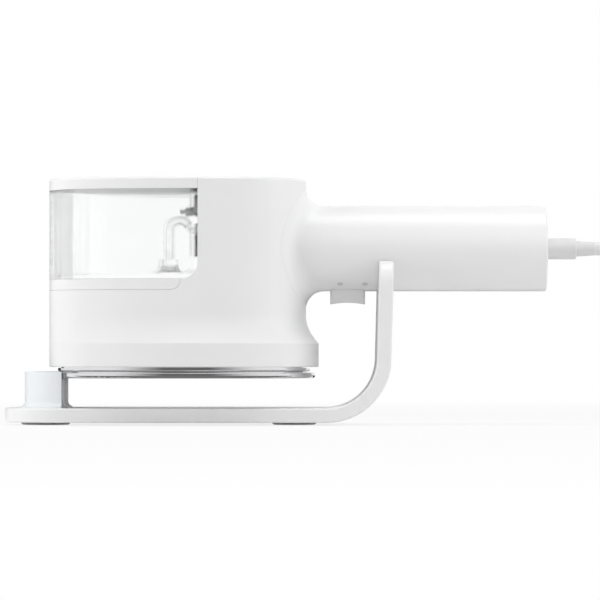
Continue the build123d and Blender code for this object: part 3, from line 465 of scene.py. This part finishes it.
def add_world():
    """Soft light from all round. To the camera, clear plastic and gloss it looks plain white."""
    world = bpy.data.worlds.new("studio")
    world.use_nodes = True
    scene.world = world
    tree = world.node_tree
    background = tree.nodes["Background"]
    background.inputs["Color"].default_value = (1, 1, 1, 1)
    place = tree.nodes.new("ShaderNodeTexCoord")
    parts = tree.nodes.new("ShaderNodeSeparateXYZ")
    tree.links.new(place.outputs["Generated"], parts.inputs["Vector"])

    def maths(kind, first, second):
        node = tree.nodes.new("ShaderNodeMath")
        node.operation = kind
        for socket, value in zip(node.inputs, (first, second)):
            if isinstance(value, float):
                socket.default_value = value
            else:
                tree.links.new(value, socket)
        return node.outputs["Value"]

    depth = maths("MULTIPLY", parts.outputs["Y"], (back_light - front_light) / 2)
    level = maths("ADD", depth, (back_light + front_light) / 2)
    height = maths("MULTIPLY", parts.outputs["Z"], top_light)
    level = maths("ADD", level, height)
    across = maths("POWER", parts.outputs["X"], 2.0)
    level = maths("ADD", level, maths("MULTIPLY", across, side_light))
    light_path = tree.nodes.new("ShaderNodeLightPath")
    seen = maths("MAXIMUM", light_path.outputs["Is Camera Ray"], light_path.outputs["Is Transmission Ray"])
    seen = maths("MAXIMUM", seen, light_path.outputs["Is Glossy Ray"])
    strength = tree.nodes.new("ShaderNodeMix")
    tree.links.new(seen, strength.inputs["Factor"])
    tree.links.new(level, strength.inputs["A"])
    strength.inputs["B"].default_value = 1.0
    tree.links.new(strength.outputs["Result"], background.inputs["Strength"])


def floor_material():
    """A pale floor that shows faint shadows near the object and turns plain white farther out."""
    material, shader = start_material("floor", floor_roughness)
    shader.inputs["Base Color"].default_value = floor_colour
    glow = add_node(material, "ShaderNodeEmission", {"Strength": 1.0})
    mix = add_node(material, "ShaderNodeMixShader")
    light_path = add_node(material, "ShaderNodeLightPath")
    seen = add_node(material, "ShaderNodeMath", operation="MAXIMUM")
    seen_or_mirrored = add_node(material, "ShaderNodeMath", operation="MAXIMUM")
    place = add_node(material, "ShaderNodeTexCoord")
    distance = add_node(material, "ShaderNodeVectorMath", operation="LENGTH")
    limits = {"From Min": floor_near, "From Max": floor_far, "To Min": floor_near_white, "To Max": 1.0}
    whiten = add_node(material, "ShaderNodeMapRange", limits)
    share = add_node(material, "ShaderNodeMath", operation="MULTIPLY")
    link(material, place.outputs["Object"], distance.inputs[0])
    link(material, distance.outputs["Value"], whiten.inputs["Value"])
    link(material, whiten.outputs["Result"], share.inputs[1])
    link(material, light_path.outputs["Is Camera Ray"], seen.inputs[0])
    link(material, light_path.outputs["Is Transmission Ray"], seen.inputs[1])
    link(material, seen.outputs["Value"], seen_or_mirrored.inputs[0])
    link(material, light_path.outputs["Is Glossy Ray"], seen_or_mirrored.inputs[1])
    link(material, seen_or_mirrored.outputs["Value"], share.inputs[0])
    link(material, share.outputs["Value"], mix.inputs["Fac"])
    link(material, shader.outputs["BSDF"], mix.inputs[1])
    link(material, glow.outputs["Emission"], mix.inputs[2])
    output = material.node_tree.nodes["Material Output"]
    link(material, mix.outputs["Shader"], output.inputs["Surface"])
    return material


def add_floor():
    half = floor_half_width
    corners = [(-half, -half, 0), (half, -half, 0), (half, half, 0), (-half, half, 0)]
    mesh = bpy.data.meshes.new("floor")
    mesh.from_pydata(corners, [], [(0, 1, 2, 3)])
    mesh.materials.append(floor_material())
    floor = bpy.data.objects.new("floor", mesh)
    scene.collection.objects.link(floor)


def add_area_light(name, place, target, size, power, mirrored=True):
    data = bpy.data.lights.new(name, "AREA")
    data.shape = "RECTANGLE"
    data.size, data.size_y = size
    data.energy = power
    light = bpy.data.objects.new(name, data)
    light.location = place
    light.rotation_euler = (Vector(target) - Vector(place)).to_track_quat("-Z", "Y").to_euler()
    light.visible_glossy = mirrored
    scene.collection.objects.link(light)


def card_material():
    """Dark in the middle, and as bright as the background towards its upper edge and its ends."""
    material = bpy.data.materials.new("dark_card")
    material.use_nodes = True
    place = add_node(material, "ShaderNodeTexCoord")
    parts = add_node(material, "ShaderNodeSeparateXYZ")
    across = add_node(material, "ShaderNodeMath", operation="ABSOLUTE")
    dark = {"To Min": card_level, "To Max": 1.0}
    end_range = {"From Min": card_end_start, "From Max": card_end_stop, **dark}
    upper_range = {"From Min": card_top_start, "From Max": card_height, **dark}
    ends = add_node(material, "ShaderNodeMapRange", end_range)
    upper = add_node(material, "ShaderNodeMapRange", upper_range)
    brighter = add_node(material, "ShaderNodeMath", operation="MAXIMUM")
    glow = add_node(material, "ShaderNodeEmission")
    link(material, place.outputs["Object"], parts.inputs["Vector"])
    link(material, parts.outputs["X"], across.inputs[0])
    link(material, across.outputs["Value"], ends.inputs["Value"])
    link(material, parts.outputs["Z"], upper.inputs["Value"])
    link(material, ends.outputs["Result"], brighter.inputs[0])
    link(material, upper.outputs["Result"], brighter.inputs[1])
    link(material, brighter.outputs["Value"], glow.inputs["Strength"])
    output = material.node_tree.nodes["Material Output"]
    link(material, glow.outputs["Emission"], output.inputs["Surface"])
    return material


def plain_glow(name, level):
    """One even level of grey."""
    material = bpy.data.materials.new(name)
    material.use_nodes = True
    glow = add_node(material, "ShaderNodeEmission", {"Strength": level})
    output = material.node_tree.nodes["Material Output"]
    link(material, glow.outputs["Emission"], output.inputs["Surface"])
    return material


def add_dark_piece(name, corners, faces, material):
    """A piece of the studio that nothing but gloss shows, so that it only paints a dark reflection."""
    mesh = bpy.data.meshes.new(name)
    mesh.from_pydata(corners, [], faces)
    mesh.materials.append(material)
    piece = bpy.data.objects.new(name, mesh)
    scene.collection.objects.link(piece)
    piece.visible_camera = False
    piece.visible_diffuse = False
    piece.visible_transmission = False
    piece.visible_shadow = False


def add_dark_wall(name, first, last, height, material):
    """A curved wall round the object. Its angles start behind the camera and go round by the right."""
    corners = []
    faces = []
    for i in range(wall_steps + 1):
        angle = first + (last - first) * i / wall_steps
        x = wall_radius * math.sin(angle)
        y = -wall_radius * math.cos(angle)
        corners += [(x, y, 0), (x, y, height)]
    for i in range(wall_steps):
        faces.append((2 * i, 2 * i + 2, 2 * i + 3, 2 * i + 1))
    add_dark_piece(name, corners, faces, material)


def add_dark_sheet(name, near, far, material):
    """A sheet on the floor, across the whole view."""
    corners = []
    for x, y in ((-1, near), (1, near), (1, far), (-1, far)):
        corners.append((x * sheet_half_width, y, sheet_height))
    add_dark_piece(name, corners, [(0, 1, 2, 3)], material)


def add_dark_pieces():
    """The card and the front sheet paint dark reflections on the steel, the flag and the back sheet paint
    dark reflections along the edges.
    """
    black = plain_glow("black", 0.0)
    grey = plain_glow("grey", front_sheet_level)
    add_dark_wall("dark_card", -card_half_angle, card_half_angle, card_height, card_material())
    add_dark_wall("dark_flag", flag_first_angle, flag_last_angle, flag_height, black)
    add_dark_sheet("back_sheet", back_sheet_near, sheet_far, black)
    add_dark_sheet("front_sheet", -front_sheet_near, -sheet_far, grey)


# The scene

add_camera()
add_world()
add_floor()
add_area_light("key", place=(0.45, -1.4, 0.9), target=(0, 0, 0.05), size=(1.0, 0.7), power=1.6)
add_area_light("top", place=(0.0, -0.1, 1.2), target=(0, 0, 0.05), size=(0.9, 0.6), power=5.7)
add_area_light(
    "left", place=(-1.15, -0.35, 0.3), target=(-0.05, 0, 0.06), size=(0.6, 0.7), power=6.6, mirrored=False
)
add_area_light(
    "right", place=(1.1, -0.5, 0.35), target=(0.1, 0, 0.05), size=(0.7, 0.6), power=5.0, mirrored=False
)
add_dark_pieces()

white = (0.83, 0.83, 0.835)
materials = {
    "white_plastic": moulded_plastic("white_plastic", white, 0.34),
    "rest_plastic": moulded_plastic("rest_plastic", (0.80, 0.83, 0.85), 0.38),
    "rest_silicone": soft_rubber("rest_silicone", (0.84, 0.87, 0.87), glow_depth=0.012),
    "grey_silicone": soft_rubber("grey_silicone", (0.72, 0.72, 0.72)),
    "foot_rubber": soft_rubber("foot_rubber", (0.80, 0.80, 0.81)),
    "clear_plastic": clear_plastic("clear_plastic", (0.98, 0.99, 0.99), 0.03),
    "polished_steel": metal(
        "polished_steel", (0.80, 0.80, 0.81), 0.08, scale=60.0, stretch=(1, 1, 30), depth=0.00001
    ),
    "cast_aluminium": metal(
        "cast_aluminium", (0.66, 0.66, 0.67), 0.45, scale=900.0, stretch=(1, 1, 1), depth=0.00005
    ),
    "steel": metal(
        "steel", (0.60, 0.60, 0.61), 0.3, scale=900.0, stretch=(1, 1, 8), depth=0.00001
    ),
    "brass": metal(
        "brass", (0.78, 0.60, 0.28), 0.22, scale=700.0, stretch=(8, 1, 1), depth=0.00001
    ),
    "hose_silicone": soft_rubber("hose_silicone", (0.78, 0.78, 0.76), 0.4),
    "dark_plastic": moulded_plastic("dark_plastic", (0.03, 0.03, 0.032), 0.45),
    "coil_wrap": metal(
        "coil_wrap", (0.62, 0.27, 0.12), 0.35, scale=900.0, stretch=(1, 1, 12), depth=0.00003
    ),
    "inner_plastic": moulded_plastic("inner_plastic", (0.55, 0.55, 0.54), 0.5),
    "board": moulded_plastic("board", (0.03, 0.16, 0.08), 0.35),
    "lens": moulded_plastic("lens", (0.64, 0.65, 0.66), 0.2),
    "wire_insulation": soft_rubber("wire_insulation", (0.35, 0.05, 0.04), 0.45),
    "relief_rubber": soft_rubber("relief_rubber", (0.72, 0.72, 0.72), 0.5),
    "cord_sheath": soft_rubber(
        "cord_sheath", (0.76, 0.76, 0.76), 0.45, evenness=0.985, grain_strength=0.08
    ),
    "plug_plastic": soft_rubber(
        "plug_plastic", (0.76, 0.76, 0.76), 0.45, evenness=0.985, grain_strength=0.15
    ),
    "tie": soft_rubber("tie", (0.06, 0.06, 0.065), 0.7, evenness=0.8),
}
for subpart in frame["record"]["subparts"]:
    paint(subpart["node"], materials[subpart["material_slot"]])

# Cord
cord_line = spline_line(cord_points())
cord = tube_mesh("cord", [(cord_line, [cord_diameter / 2] * len(cord_line))], tube_sides)
cord.data.materials.append(materials["cord_sheath"])
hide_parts("cord_lead", "cord_coil", "cord_tail")
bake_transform(cord)
sleeve = plug_sleeve(cord_line)
grips = plug_grips()
for piece in (sleeve, grips):
    piece.data.materials.append(materials["plug_plastic"])
    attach(piece, "stand")

# Springs
add_spring("button_spring", button_spring_wire_radius, button_spring_turns)
add_spring("pump_spring", pump_spring_wire_radius, pump_spring_turns)
